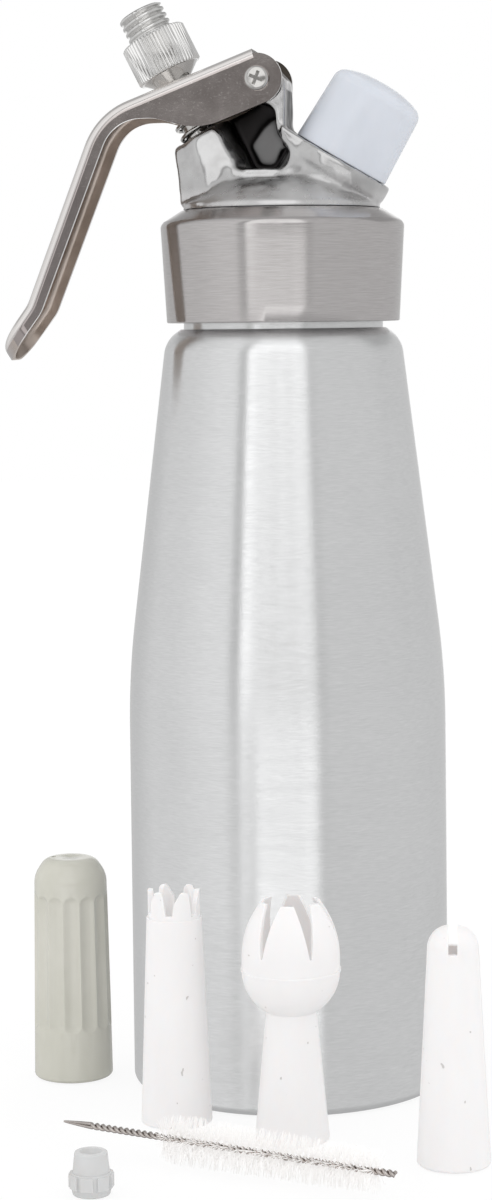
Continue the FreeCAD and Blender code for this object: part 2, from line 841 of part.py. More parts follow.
# ---------------------------------------------------------------- pieces that stand beside it
def make_charger_holder():
    """Sleeve that carries a gas charger: fluted grip, smooth mouth band and a vented top."""
    dome_z = holder_height - holder_dome_height
    body = revolved([
        (0, 0, 0),
        (holder_base_r, 0, holder_base_edge),
        (holder_top_r, dome_z, 8.0),
        (holder_top_r - 3.4, holder_height, holder_dome_blend),
        (0, holder_height, 0),
    ])
    flutes = []
    for i in range(flute_count):
        angle = 360.0 * i / flute_count
        low_r = holder_base_r - (holder_base_r - holder_top_r) * flute_low_z / dome_z
        high_r = holder_base_r - (holder_base_r - holder_top_r) * flute_high_z / dome_z
        start = vec(low_r - flute_depth + flute_r, 0, flute_low_z)
        finish = vec(high_r - flute_depth + flute_r, 0, flute_high_z)
        run = finish - start
        cutter = Part.makeCylinder(flute_r, run.Length, start, run)
        for end in (start, finish):
            cutter = cutter.fuse(Part.makeSphere(flute_r, end))
        cutter.rotate(vec(0, 0, 0), vec(0, 0, 1), angle)
        flutes.append(cutter)
    for cutter in flutes:
        body = body.cut(cutter)
    body = body.cut(revolved([
        (0, -1, 0),
        (holder_bore_r, -1, 0),
        (holder_bore_r, holder_bore_depth - 4, 6.0),
        (0, holder_bore_depth, 0),
    ]))
    vent = stood(rod(vent_r, holder_bore_depth - 8, holder_height + 1), (-vent_offset, 0))
    return stood(body.cut(vent), holder_place)


def hollowed(body, channel):
    """Cuts the threaded socket and the cream channel out of a nozzle."""
    return body.cut(rod(socket_r, -1, socket_depth)).cut(channel)


def make_crown_nozzle():
    """Round nozzle whose end is a crown of six slanted prongs."""
    body = revolved([
        (0, 0, 0),
        (crown_base_r, 0, 0.6),
        (crown_step_r, crown_step_z, 0),
        (crown_step_r - crown_step, crown_step_z, 0),
        (crown_step_r - crown_step, crown_height, 0.5),
        (0, crown_height, 0),
    ])
    bore_r = crown_step_r - crown_step - nozzle_wall
    body = hollowed(body, cone(socket_r - 0.6, bore_r, socket_depth - 1, crown_height + 1))
    tip = crown_height + 0.02
    shoulder = crown_height - 3.6
    half = prong_gap / 2
    gap = prism([
        (half, crown_step_z + prong_foot, 0),
        (half + 1.0, tip, 1.4),
        (half + 2.4, tip, 0),
        (half + 2.4, tip + 2.0, 0),
        (-half - 3.3, tip + 2.0, 0),
        (-half - 3.3, tip, 0),
        (-half - 2.3, tip, 1.0),
        (-half - 0.4, shoulder, 0.5),
        (-half, crown_step_z + prong_foot, 0),
    ], crown_base_r)
    gap.translate(vec(0, crown_base_r, 0))
    return stood(body.cut(around(gap, prong_count, crown_turn)), crown_place)


def bulb_corners(neck, radius, blend, mouth, height):
    """Corners of a ball that grows out of a neck and narrows again to a mouth."""
    drop = math.sqrt(radius ** 2 - neck ** 2)
    tangent = (radius - neck) * radius / drop
    return [
        (neck, tulip_bulb_z - drop, 0),
        (radius, tulip_bulb_z - tangent, 0.98 * radius),
        (radius, tulip_bulb_z + tulip_shoulder_rise, blend),
        (mouth, height, 0),
    ]


def make_tulip_nozzle():
    """Flared foot, narrow neck and a bulb whose rim is cut into six pointed petals."""
    wall = nozzle_wall
    body = revolved(
        [(0, 0, 0), (tulip_base_r, 0, 0.6)]
        + bulb_corners(tulip_neck_r, tulip_bulb_r, tulip_shoulder_blend, tulip_mouth_r, tulip_height)
        + [(0, tulip_height, 0)]
    )
    seam_r = tulip_bulb_r + tulip_seam
    seam = ring(seam_r, tulip_bulb_r - wall / 2, tulip_bulb_z - tulip_seam, tulip_bulb_z + tulip_seam)
    body = body.fuse(seam)
    neck_bore = tulip_neck_r - wall
    high = tulip_height + 1
    bulb = revolved(
        bulb_corners(neck_bore, tulip_bulb_r - wall, tulip_shoulder_blend - wall, tulip_mouth_r - wall, high)
        + [(0, high, 0), (0, tulip_bulb_z - tulip_bulb_r, 0), (neck_bore, tulip_bulb_z - tulip_bulb_r, 0)]
    )
    channel = cone(socket_r - 0.8, neck_bore, socket_depth - 1, tulip_bulb_z - tulip_bulb_r + 1)
    body = hollowed(body, channel).cut(bulb)
    notch = prism([
        (-0.3, tulip_notch_low_z, 0),
        (0.3, tulip_notch_low_z, 0),
        (tulip_notch_half, high, 0),
        (-tulip_notch_half, high, 0),
    ], tulip_bulb_r)
    notch.translate(vec(0, tulip_bulb_r + 1.5, 0))
    return stood(body.cut(around(notch, tulip_notch_count, tulip_turn)), tulip_place)


def make_slot_nozzle():
    """Tapered nozzle with a round end and a slot across it, for ribbons of cream."""
    body = revolved([
        (0, 0, 0),
        (slot_base_r, 0, 0.8),
        (slot_top_r, slot_height, 0.92 * slot_top_r),
        (0, slot_height, 0),
    ])
    tip_z = slot_height - nozzle_wall
    body = hollowed(body, revolved([
        (0, socket_depth - 1, 0),
        (socket_r - 0.6, socket_depth - 1, 0),
        (slot_top_r - nozzle_wall, tip_z - 4.0, 3.0),
        (0, tip_z, 0),
    ]))
    slot = Part.makeBox(slot_width, 3 * slot_top_r, slot_depth + 1,
                        vec(-slot_width / 2, -1.5 * slot_top_r, slot_height - slot_depth))
    slot.rotate(vec(0, 0, 0), vec(0, 0, 1), slot_turn)
    return stood(body.cut(slot), slot_place)


def make_tip_cap():
    """Small ribbed cap with a dished end."""
    body = revolved([
        (0, 0, 0),
        (tip_cap_foot_r, 0, 0.3),
        (tip_cap_base_r - 0.4, tip_cap_lug_low_z, 0.3),
        (tip_cap_base_r - 0.4, tip_cap_skirt_z, 0.4),
        (tip_cap_low_r, tip_cap_skirt_z, 0),
        (tip_cap_top_r, tip_cap_height, 0.5),
        (0, tip_cap_height, 0),
    ])
    lug = Part.makeBox(
        1.0, tip_cap_lug_width, tip_cap_skirt_z - tip_cap_lug_low_z - 0.4,
        vec(tip_cap_base_r - 1.0, -tip_cap_lug_width / 2, tip_cap_lug_low_z)
    )
    for piece in around(lug, tip_cap_lugs).Solids:
        body = body.fuse(piece)
    dish = revolved([
        (0, tip_cap_height - tip_cap_dish_depth, 0),
        (tip_cap_dish_r * 0.45, tip_cap_height - tip_cap_dish_depth, 0.8),
        (tip_cap_dish_r, tip_cap_height + 0.2, 0),
        (0, tip_cap_height + 0.2, 0),
    ])
    roof = tip_cap_height - tip_cap_dish_depth - tip_cap_floor
    body = body.cut(dish).cut(rod(tip_cap_bore_r, -1, roof))
    return stood(body.removeSplitter(), tip_cap_place)


def along_brush(shape):
    """Lays a shape built along +Z onto the brush's axis, resting on its bristles."""
    placed = shape.copy()
    placed.rotate(vec(0, 0, 0), vec(0, 1, 0), 90)
    placed.rotate(vec(0, 0, 0), vec(0, 0, 1), brush_heading)
    placed.translate(vec(brush_start[0], brush_start[1], bristle_r))
    return placed


def make_brush_wire():
    return along_brush(rod(wire_r, 0, brush_length))


def make_brush_bristles():
    body = revolved([
        (wire_r + running_fit, bristle_start, 0),
        (bristle_r * 0.8, bristle_start, 2.0),
        (bristle_r, bristle_start + 6, 20.0),
        (bristle_end_r, bristle_start + bristle_length, 1.5),
        (wire_r + running_fit, bristle_start + bristle_length, 0),
    ])
    return along_brush(body)


# ---------------------------------------------------------------- build and write every piece
PIECES = {
    "bottle": make_bottle,
    "head_casting": make_head_casting,
    "head_gasket": make_head_gasket,
    "gland_bush": make_gland_bush,
    "stem_oring": make_stem_oring,
    "valve_stem": make_valve_stem,
    "valve_seal": make_valve_seal,
    "valve_spring": make_valve_spring,
    "spring_washer": make_spring_washer,
    "adapter_cone": make_adapter_cone,
    "nozzle_adapter": make_nozzle_adapter,
    "lever": make_lever,
    "pivot_sleeve": make_pivot_sleeve,
    "pivot_screw": make_pivot_screw,
    "charger_stud": make_charger_stud,
    "piercing_pin": make_piercing_pin,
    "pin_gasket": make_pin_gasket,
    "check_valve": make_check_valve,
    "charger_cap": make_charger_cap,
    "charger_holder": make_charger_holder,
    "crown_nozzle": make_crown_nozzle,
    "tulip_nozzle": make_tulip_nozzle,
    "slot_nozzle": make_slot_nozzle,
    "tip_cap": make_tip_cap,
    "brush_wire": make_brush_wire,
    "brush_bristles": make_brush_bristles,
}

os.makedirs("parts", exist_ok=True)
for name, make in PIECES.items():
    shape = make()
    if shape.ShapeType == "Compound" and len(shape.Solids) == 1:
        shape = shape.Solids[0]
    print(name, shape.ShapeType, len(shape.Solids), "solid", round(shape.Volume, 1), "mm3",
          "valid" if shape.isValid() else "INVALID")
    shape.exportStep("parts/" + name + ".step")
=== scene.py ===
"""The dressed whipped cream dispenser: brushed bottle, cast head with its lever and valve,
charger cap, and the loose pieces of the set. Metres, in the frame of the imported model; outlines
that are turned round an axis are written in millimetres."""
import json
import math
import random

import bmesh
import bpy
from mathutils import Matrix, Vector, noise


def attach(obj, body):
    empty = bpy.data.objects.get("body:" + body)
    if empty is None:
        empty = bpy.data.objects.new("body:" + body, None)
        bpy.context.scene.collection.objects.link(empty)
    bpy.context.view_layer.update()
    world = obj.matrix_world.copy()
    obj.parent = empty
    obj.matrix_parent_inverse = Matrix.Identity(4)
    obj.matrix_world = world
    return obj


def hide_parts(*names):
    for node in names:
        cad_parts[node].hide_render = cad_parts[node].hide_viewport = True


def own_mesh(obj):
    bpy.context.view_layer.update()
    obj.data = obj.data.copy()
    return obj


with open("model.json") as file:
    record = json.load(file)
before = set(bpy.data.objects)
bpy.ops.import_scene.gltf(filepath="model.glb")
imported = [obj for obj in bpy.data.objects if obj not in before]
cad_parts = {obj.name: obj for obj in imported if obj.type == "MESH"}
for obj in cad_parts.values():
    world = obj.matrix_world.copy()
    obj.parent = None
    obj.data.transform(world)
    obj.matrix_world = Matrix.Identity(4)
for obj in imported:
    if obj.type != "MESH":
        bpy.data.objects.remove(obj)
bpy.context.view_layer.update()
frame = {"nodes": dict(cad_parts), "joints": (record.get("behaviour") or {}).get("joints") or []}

# ------------------------------------------------------------------ bottle
# Spun and necked aluminium bottle of one litre. Its outside is brushed round and round with a
# fine belt, so that lamps draw out into tall streaks, and its plain neck carries a coarse thread.
FOOT_R = 47.15
BELLY_Z = 122.5
SHOULDER_R = 34.6
SHOULDER_Z = 220.4
SHOULDER_ROUND = 9.0
NECK_R = 29.2
NECK_Z = 223.5
MOUTH_R = 27.2
MOUTH_Z = 246.0
WALL = 1.2


def wiring(tree):
    """Functions that add a node to a tree, and that join a value or a socket to a socket. A setting
    whose name starts with in_ goes to the input of that name or number."""
    def join(value, socket):
        if isinstance(value, bpy.types.NodeSocket):
            tree.links.new(value, socket)
        else:
            socket.default_value = value

    def add(kind, **settings):
        node = tree.nodes.new(kind)
        for key, value in settings.items():
            if key.startswith("in_"):
                name = key[3:].replace("_", " ")
                join(value, node.inputs[int(name) if name.isdigit() else name])
            else:
                setattr(node, key, value)
        return node

    return add, join


def new_finish(name):
    """An empty material, its shader, and functions that add and join nodes."""
    material = bpy.data.materials.new(name)
    material.use_nodes = True
    add, join = wiring(material.node_tree)
    return material, material.node_tree.nodes["Principled BSDF"], add, join


def grain(add, stretch, detail=3.0, roughness=0.6):
    """Noise drawn out along the directions with a low stretch, as features per metre."""
    place = add("ShaderNodeTexCoord").outputs["Object"]
    scaled = add("ShaderNodeMapping", in_Vector=place, in_Scale=stretch)
    return add("ShaderNodeTexNoise", in_Vector=scaled.outputs[0], in_Scale=1.0,
               in_Detail=detail, in_Roughness=roughness).outputs["Fac"]


def spread(add, value, low, high, start=0.3, stop=0.7):
    """Maps a value from start and stop onto low and high."""
    return add("ShaderNodeMapRange", in_Value=value, in_From_Min=start, in_From_Max=stop,
               in_To_Min=low, in_To_Max=high).outputs[0]


def maths(add, operation, first, second=0.0, third=0.0):
    """Sum, product or the like of values and sockets."""
    return add("ShaderNodeMath", operation=operation, in_0=first, in_1=second, in_2=third).outputs[0]


def blended(add, factor, first, second):
    """Colour between two colours, each a triple or a socket."""
    node = add("ShaderNodeMix", data_type="RGBA", in_Factor=factor)
    tree = node.id_data
    for value, socket in ((first, node.inputs["A"]), (second, node.inputs["B"])):
        if isinstance(value, tuple):
            socket.default_value = (*value, 1.0)
        else:
            tree.links.new(value, socket)
    return node.outputs["Result"]


def relief(add, join, shader, height, strength):
    """Bump of a finish, for heights in fiftieths of a millimetre."""
    bump = add("ShaderNodeBump", in_Height=height, in_Strength=strength, in_Distance=0.00002)
    join(bump.outputs[0], shader.inputs["Normal"])


def brushed(name, dark, light, lines, roughness, bump, pull):
    """Metal brushed round the Z axis: fine lines, a slow cloud over them, and a drawn-out gloss."""
    material, shader, add, join = new_finish(name)
    fine = grain(add, (lines / 10, lines / 10, lines), 2.0, 0.7)
    coarse = grain(add, (lines / 40, lines / 40, lines / 6), 2.0)
    speck = grain(add, (2600.0, 2600.0, 3800.0), 1.0)
    cloud = grain(add, (24.0, 24.0, 30.0), 2.0)
    tint = maths(add, "ADD", spread(add, fine, 0.0, 0.75), spread(add, cloud, 0.0, 0.25))
    join(blended(add, tint, dark, light), shader.inputs["Base Color"])
    join(spread(add, coarse, *roughness), shader.inputs["Roughness"])
    shader.inputs["Metallic"].default_value = 1.0
    shader.inputs["Anisotropic"].default_value = pull
    shader.inputs["Anisotropic Rotation"].default_value = 0.25
    join(add("ShaderNodeTangent", direction_type="RADIAL", axis="Z").outputs[0], shader.inputs["Tangent"])
    relief(add, join, shader, maths(add, "ADD", fine, spread(add, speck, 0.0, 0.9)), bump)
    return material


def dress(material, *nodes):
    """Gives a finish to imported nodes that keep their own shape."""
    for node in nodes:
        shape = frame["nodes"][node].data
        shape.materials.clear()
        shape.materials.append(material)


def rounded(corners, steps=6):
    """Outline through (radius, height, corner radius) corners, with each corner turned by an arc."""
    points = [corners[0][:2]]
    for before, here, after in zip(corners, corners[1:], corners[2:]):
        point = Vector(here[:2])
        if here[2] == 0:
            points.append(here[:2])
            continue
        back = (Vector(before[:2]) - point).normalized()
        ahead = (Vector(after[:2]) - point).normalized()
        half = back.angle(ahead) / 2
        centre = point + (back + ahead).normalized() * here[2] / math.sin(half)
        first = point + back * here[2] / math.tan(half) - centre
        last = point + ahead * here[2] / math.tan(half) - centre
        for k in range(steps + 1):
            points.append(tuple(centre + first.slerp(last, k / steps).normalized() * here[2]))
    points.append(corners[-1][:2])
    return points


def lathe(shape, outline, count=160, bend=None):
    """Turns an outline in millimetres round Z. bend moves a point given its angle, radius, height."""
    rows = []
    for r, z in outline:
        row = []
        for a in [2 * math.pi * i / count for i in range(count if r > 1e-6 else 1)]:
            q, h = (r, z) if bend is None else bend(a, r, z)
            row.append(shape.verts.new((0.001 * q * math.cos(a), 0.001 * q * math.sin(a), 0.001 * h)))
        rows.append(row)
    for low, high in zip(rows, rows[1:]):
        for i in range(count):
            j = (i + 1) % count
            corners = [low[i % len(low)], low[j % len(low)], high[j % len(high)], high[i % len(high)]]
            shape.faces.new(list(dict.fromkeys(corners)))


def mesh_of(shape, name):
    """Mesh with what a bmesh holds. The bmesh is freed."""
    mesh = bpy.data.meshes.new(name)
    shape.to_mesh(mesh)
    shape.free()
    return mesh


def shown(name, mesh):
    """Object of a mesh, in the scene."""
    thing = bpy.data.objects.new(name, mesh)
    bpy.context.scene.collection.objects.link(thing)
    return thing


def piece_from(shape, name, material, place=None, crease=35.0):
    """Finishes a bmesh as a smooth-shaded piece that keeps its edges sharper than crease."""
    if place is not None:
        shape.transform(place)
    bmesh.ops.remove_doubles(shape, verts=shape.verts, dist=1e-7)
    bmesh.ops.recalc_face_normals(shape, faces=shape.faces)
    mesh = mesh_of(shape, name)
    mesh.shade_smooth()
    mesh.set_sharp_from_angle(angle=math.radians(crease))
    mesh.materials.append(material)
    return shown(name, mesh)


def stand_in(piece, node, body):
    """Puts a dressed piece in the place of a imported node."""
    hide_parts(node)
    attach(piece, body)


def thread(radius, depth, pitch, low, high):
    """Bend that cuts a thread into the skin of a lathed rod between two heights."""
    def bend(a, r, z):
        off_skin = abs(r - radius) > 0.02
        if off_skin or not low < z < high:
            return r, z
        fade = min(1.0, (z - low) / pitch, (high - z) / pitch)
        groove = (0.5 - 0.5 * math.cos(2 * math.pi * z / pitch - a)) ** 2
        return r - depth * fade * groove, z
    return bend


def stacked(radius, low, high, step):
    """Close rows up a rod, for a thread to bend."""
    count = round((high - low) / step)
    return [(radius, low + (high - low) * k / count) for k in range(count + 1)]


bottle_outside = rounded([
    (0, 0, 0), (FOOT_R, 0, 2.5), (FOOT_R - 0.3, BELLY_Z, 260), (SHOULDER_R, SHOULDER_Z, SHOULDER_ROUND),
    (NECK_R + 1.0, NECK_Z, 0), (NECK_R, NECK_Z, 0)], 14)
bottle_neck = stacked(NECK_R, NECK_Z + 0.5, MOUTH_Z - 0.6, 0.3)
bottle_inside = rounded([
    (NECK_R - 0.6, MOUTH_Z, 0), (MOUTH_R, MOUTH_Z, 0), (MOUTH_R, NECK_Z - WALL, 0),
    (SHOULDER_R - WALL, SHOULDER_Z - WALL, SHOULDER_ROUND - WALL), (FOOT_R - 1.5, BELLY_Z, 258),
    (FOOT_R - WALL, WALL, 2.5 - WALL), (0, WALL, 0)], 14)
bottle = bmesh.new()
lathe(bottle, bottle_outside + bottle_neck + bottle_inside, 192,
      thread(NECK_R, depth=0.95, pitch=4.0, low=226.0, high=244.5))
bottle_skin = brushed("brushed_aluminium", dark=(0.78, 0.785, 0.79), light=(0.87, 0.875, 0.88),
                      lines=3000.0, roughness=(0.2, 0.26), bump=0.3, pull=0.97)
stand_in(piece_from(bottle, "brushed_body", bottle_skin), "bottle", "bottle")

# ------------------------------------------------------------------ head casting
# Cast head that screws onto the neck. The collar is turned to a fine satin up to its groove, and
# the dome, the valve tower and the charger seat are polished as cast. The pocket is painted nearly
# black as painted shade, and the dome's foot is painted lighter as painted light.
GROOVE_Z = 0.2577
# Box where the pocket's painted shade lies, and the depth in Y over which it fades out.
POCKET_X = (-0.0185, 0.0052)
POCKET_Z = (0.2689, 0.2925)
POCKET_FLOOR_Y = 0.0048
POCKET_RIM_Y = 0.0088

joints = {joint["name"]: joint for joint in frame["joints"]}


def leaning(foot, joint, way=1.0):
    """Frame of a leaning piece, from its foot and from the joint that moves along its axis."""
    axis = way * Vector(joints[joint]["axis"])
    return Matrix.Translation(foot) @ Matrix.Rotation(math.atan2(axis.x, axis.z), 4, "Y")


VALVE = leaning((-0.0235, 0, 0.2801), "valve_press", -1.0)
CHARGER = leaning((0.01745, 0, 0.2721), "charger_cap_off")
VALVE_LEVEL = VALVE.inverted()
CHARGER_LEVEL = CHARGER.inverted()


def inside(add, value, low, high, soft):
    """One where a value lies between low and high, fading over soft at both ends."""
    rise = spread(add, value, 0.0, 1.0, low, low + soft)
    fall = spread(add, value, 1.0, 0.0, high - soft, high)
    return maths(add, "MULTIPLY", rise, fall)


def cast_head():
    """Satin below the groove and a cast polish above it. The pocket is painted nearly black as painted
    shade, a little lighter on the tongue's faces, and the dome's foot is painted lighter as painted light.
    """
    material, shader, add, join = new_finish("cast_aluminium")
    where = add("ShaderNodeSeparateXYZ", in_Vector=add("ShaderNodeTexCoord").outputs["Object"])
    x, y, z = where.outputs
    above = spread(add, z, 0.0, 1.0, GROOVE_Z, GROOVE_Z + 0.0003)
    lines = grain(add, (150.0, 150.0, 4200.0), 3.0, 0.7)
    skin = grain(add, (260.0, 260.0, 260.0), 2.0, 0.4)
    pits = grain(add, (1900.0, 1900.0, 1900.0), 1.0)
    satin = blended(add, spread(add, lines, 0.0, 1.0), (0.52, 0.5, 0.495), (0.62, 0.6, 0.595))
    polish = blended(add, spread(add, skin, 0.0, 1.0), (0.52, 0.515, 0.515), (0.64, 0.64, 0.64))
    across = maths(add, "ABSOLUTE", y)
    # Painted shade: the pocket is painted nearly black, a little lighter on the tongue's front faces.
    hollow = maths(add, "MULTIPLY", inside(add, x, *POCKET_X, 0.0008), inside(add, z, *POCKET_Z, 0.0006))
    painted_pocket_shade = maths(add, "MULTIPLY", hollow, spread(add, across, 0.97, 0.0, POCKET_FLOOR_Y, POCKET_RIM_Y))
    tongue_edge = inside(add, across, 0.0026, 0.0034, 0.0002)
    shade = maths(add, "MULTIPLY", painted_pocket_shade, spread(add, tongue_edge, 1.0, 0.72, 0.0, 1.0))
    # Painted light: the dome's foot is painted lighter, against the dark it reflects.
    painted_dome_foot_light = spread(add, z, 1.0, 0.0, GROOVE_Z + 0.0038, GROOVE_Z + 0.0068)
    polish = blended(add, painted_dome_foot_light, polish, (0.74, 0.735, 0.735))
    color = blended(add, above, satin, blended(add, shade, polish, (0.012, 0.01, 0.01)))
    join(color, shader.inputs["Base Color"])
    gloss = maths(add, "ADD", spread(add, skin, 0.15, 0.27), maths(add, "MULTIPLY", shade, 0.25))
    gloss = maths(add, "ADD", gloss, spread(add, z, 0.1, 0.0, GROOVE_Z + 0.0078, GROOVE_Z + 0.0118))
    turned = spread(add, lines, 0.15, 0.21)
    pick = add("ShaderNodeMix", in_Factor=above, in_A=turned, in_B=gloss)
    join(pick.outputs["Result"], shader.inputs["Roughness"])
    shader.inputs["Metallic"].default_value = 1.0
    shader.inputs["Anisotropic"].default_value = 0.88
    shader.inputs["Anisotropic Rotation"].default_value = 0.25
    join(add("ShaderNodeTangent", direction_type="RADIAL", axis="Z").outputs[0], shader.inputs["Tangent"])
    rough = maths(add, "ADD", maths(add, "MULTIPLY", skin, 3.0), spread(add, pits, 0.0, 0.3))
    height = add("ShaderNodeMix", in_Factor=above, in_A=lines, in_B=rough)
    relief(add, join, shader, height.outputs["Result"], 0.35)
    return material


def bar(shape, radius, length, place):
    """Adds a round bar, centred on a place."""
    bmesh.ops.create_cone(shape, cap_ends=True, segments=24, radius1=radius, radius2=radius,
                          depth=length, matrix=place)


def evened(shape, verts, rounds):
    """Draws vertices halfway to their neighbours, again and again."""
    for _ in range(rounds):
        bmesh.ops.smooth_vert(shape, verts=verts, factor=0.5, use_axis_x=True, use_axis_y=True,
                              use_axis_z=True)


def softened(source, above, voxel, rounds):
    """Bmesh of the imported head, whose sharp edges run together above a height, as in a casting."""
    filled = bmesh.new()
    filled.from_mesh(source.data)
    pocket_corner = Matrix.Translation((0.0023, 0, 0.2743)) @ Matrix.Rotation(math.pi / 2, 4, "X")
    bar(filled, radius=0.0019, length=0.0036, place=pocket_corner)
    trial = shown("softened", mesh_of(filled, "blank"))
    voxels = trial.modifiers.new("voxels", "REMESH")
    voxels.voxel_size = voxel
    graph = bpy.context.evaluated_depsgraph_get()
    remeshed = bpy.data.meshes.new_from_object(trial.evaluated_get(graph))
    bpy.data.objects.remove(trial)
    top = bmesh.new()
    top.from_mesh(remeshed)
    free = [v for v in top.verts if v.co.z > above - 0.003]
    turn_facet(top)
    evened(top, free, rounds)
    evened(top, [v for v in free if is_blend(v.co)], 3 * rounds)
    top.normal_update()
    waves(top, above + 0.0015, length=0.0042, height=0.00022)
    cut_at(top, above, True)
    collar = bmesh.new()
    collar.from_mesh(source.data)
    cut_at(collar, above, False)
    top.from_mesh(mesh_of(collar, "collar"))
    return top


def cut_at(shape, height, keep_upper):
    """Halves a bmesh at a height."""
    bmesh.ops.bisect_plane(shape, geom=shape.verts[:] + shape.edges[:] + shape.faces[:],
                           plane_co=(0, 0, height), plane_no=(0, 0, 1),
                           clear_inner=keep_upper, clear_outer=not keep_upper)


def turn_facet(shape):
    """Swings the valve tower's two left facets towards the front and the back. On the valve's own
    axis, in millimetres, a facet starts at front and is fully swung at left. What lies within
    the bore's wall stays."""
    bore_wall = 7.4
    for vertex in shape.verts:
        place = 1000 * (VALVE_LEVEL @ vertex.co)
        front = -1.3 + 4.5 * place.z / 20
        left = -8.3 + 7.1 * place.z / 20
        share = min(1.0, max(0.0, (front - place.x) / (front - left)))
        weight = min(1.0, max(0.0, math.hypot(place.x, place.y) - bore_wall))
        if vertex.co.z > GROOVE_Z + 0.0015 and weight * share > 0:
            cast_y = 9.0 - 5.3 * share
            swung_y = 9.0 - 2.7 * share
            place.y *= 1 + weight * (swung_y / cast_y - 1)
            vertex.co = VALVE @ (place / 1000)


def is_blend(place):
    """Whether a point is where the pocket's floor runs into the tower or the charger seat."""
    under_seat = -(CHARGER_LEVEL @ place).z
    at_tower = -0.019 < place.x < -0.009 and 0.263 < place.z < 0.2725
    at_seat = 0 < place.x < 0.022 and place.z > 0.2625 and under_seat > 0.0016
    return abs(place.y) > 0.007 and (at_tower or at_seat)


def waves(shape, above, length, height):
    """Moves a casting's skin in and out by slow random waves, which fade in over 3 mm."""
    for vertex in shape.verts:
        share = min(1.0, max(0.0, (vertex.co.z - above) / 0.003))
        vertex.co += vertex.normal * share * height * (noise.noise(vertex.co / length) - 0.35)


casting = softened(frame["nodes"]["head_casting"], above=GROOVE_Z + 0.0005, voxel=0.00045, rounds=14)
stand_in(piece_from(casting, "cast_head", cast_head(), crease=50.0), "head_casting", "head")

# ------------------------------------------------------------------ seals and gland
# Moulded silicone gasket under the head, in red, and black rubber seals in the valve and the charger
# stud. A turned brass bush guides the stem in its tower.


def plain(name, color, roughness, metallic=0.0, mottle=0.95, bump=0.05):
    """Smooth stock with a faint mottle in its colour, its gloss and its skin."""
    material, shader, add, join = new_finish(name)
    slow = grain(add, (240.0, 240.0, 240.0), 4.0)
    fine = grain(add, (2600.0, 2600.0, 2600.0), 1.0)
    dark = tuple(c * mottle for c in color)
    join(blended(add, spread(add, slow, 0.0, 1.0), dark, color), shader.inputs["Base Color"])
    join(spread(add, slow, roughness * 0.85, roughness * 1.15), shader.inputs["Roughness"])
    shader.inputs["Metallic"].default_value = metallic
    relief(add, join, shader, fine, bump)
    return material


dress(plain("silicone", (0.62, 0.1, 0.08), 0.55), "head_gasket")
dress(plain("rubber", (0.04, 0.04, 0.04), 0.6), "stem_oring", "valve_seal", "pin_gasket", "check_valve")
brass = plain("turned_brass", (0.78, 0.6, 0.33), 0.28, metallic=1.0)
dress(brass, "gland_bush")

# ------------------------------------------------------------------ valve stem, washer and cone
# Small turned parts: the hollow stem, the washer under the lever's web, the sleeve nut of the pivot
# and the piercing pin in steel, and the cone that the lever's web pushes on, plated with nickel.
steel = plain("bright_steel", (0.6, 0.59, 0.575), 0.14, metallic=1.0)
nickel = plain("nickel_plate", (0.76, 0.755, 0.745), 0.12, metallic=1.0)
dress(steel, "valve_stem", "spring_washer", "pivot_sleeve", "piercing_pin")
dress(nickel, "adapter_cone")

# ------------------------------------------------------------------ valve spring
# Coil of steel wire between the valve tower and the washer under the lever, with its ends wound
# close.
COIL_R = 0.0058
COIL_WIRE_R = 0.0006
COIL_LOW = -0.0023
COIL_RISE = 0.0146
COIL_STEPS = 132
STEPS_A_TURN = 24


def swept(shape, points, radii, sides=8):
    """Round wire along a line of points, each with its own radius."""
    rows = []
    across = None
    for i, point in enumerate(points):
        ahead = (points[min(i + 1, len(points) - 1)] - points[max(i - 1, 0)]).normalized()
        across = ahead.orthogonal() if across is None else across - ahead * across.dot(ahead)
        across.normalize()
        up = ahead.cross(across)
        row = []
        for k in range(sides):
            a = 2 * math.pi * k / sides
            row.append(shape.verts.new(point + (across * math.cos(a) + up * math.sin(a)) * radii[i]))
        rows.append(row)
    for low, high in zip(rows, rows[1:]):
        for i in range(sides):
            j = (i + 1) % sides
            shape.faces.new((low[i], low[j], high[j], high[i]))
    shape.faces.new(rows[0][::-1])
    shape.faces.new(rows[-1])


helix = []
for i in range(COIL_STEPS + 1):
    turn = 2 * math.pi * i / STEPS_A_TURN
    risen = min(1.0, max(0.0, (i / COIL_STEPS - 0.09) / 0.82))
    helix.append(Vector((COIL_R * math.cos(turn), COIL_R * math.sin(turn), COIL_LOW + COIL_RISE * risen)))
coil = bmesh.new()
swept(coil, helix, [COIL_WIRE_R] * len(helix), 10)
spring = piece_from(coil, "valve_coil", steel, VALVE, crease=60.0)
stand_in(spring, "valve_spring", "head")
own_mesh(spring)

# ------------------------------------------------------------------ nozzle adapter
# Nickel-plated brass grip with a straight knurl and the male thread that each nozzle screws onto.
# It sits on the hollow stem above the lever, so its axis leans with the valve.
KNURL_LOW = 20.007
KNURL_HIGH = 31.907
KNURL_R = 9.8
KNURL_DEPTH = 0.55
RIDGES = 56
CHAMFER = 0.6
TIP_R = 6.8
TIP_TOP = KNURL_HIGH + 8.0
STEM_HOLE_R = 4.1


def knurl(a, r, z):
    """Straight ridges round the grip, run out at both chamfers."""
    if r < KNURL_R - 1.05 or z > KNURL_HIGH - 0.05:
        return r, z
    fade = min(1.0, (z - KNURL_LOW) / CHAMFER, (KNURL_HIGH - z) / CHAMFER)
    groove = max(0.0, 0.62 - 0.8 * math.cos(RIDGES * a)) / 1.42
    return r - KNURL_DEPTH * fade * groove, z


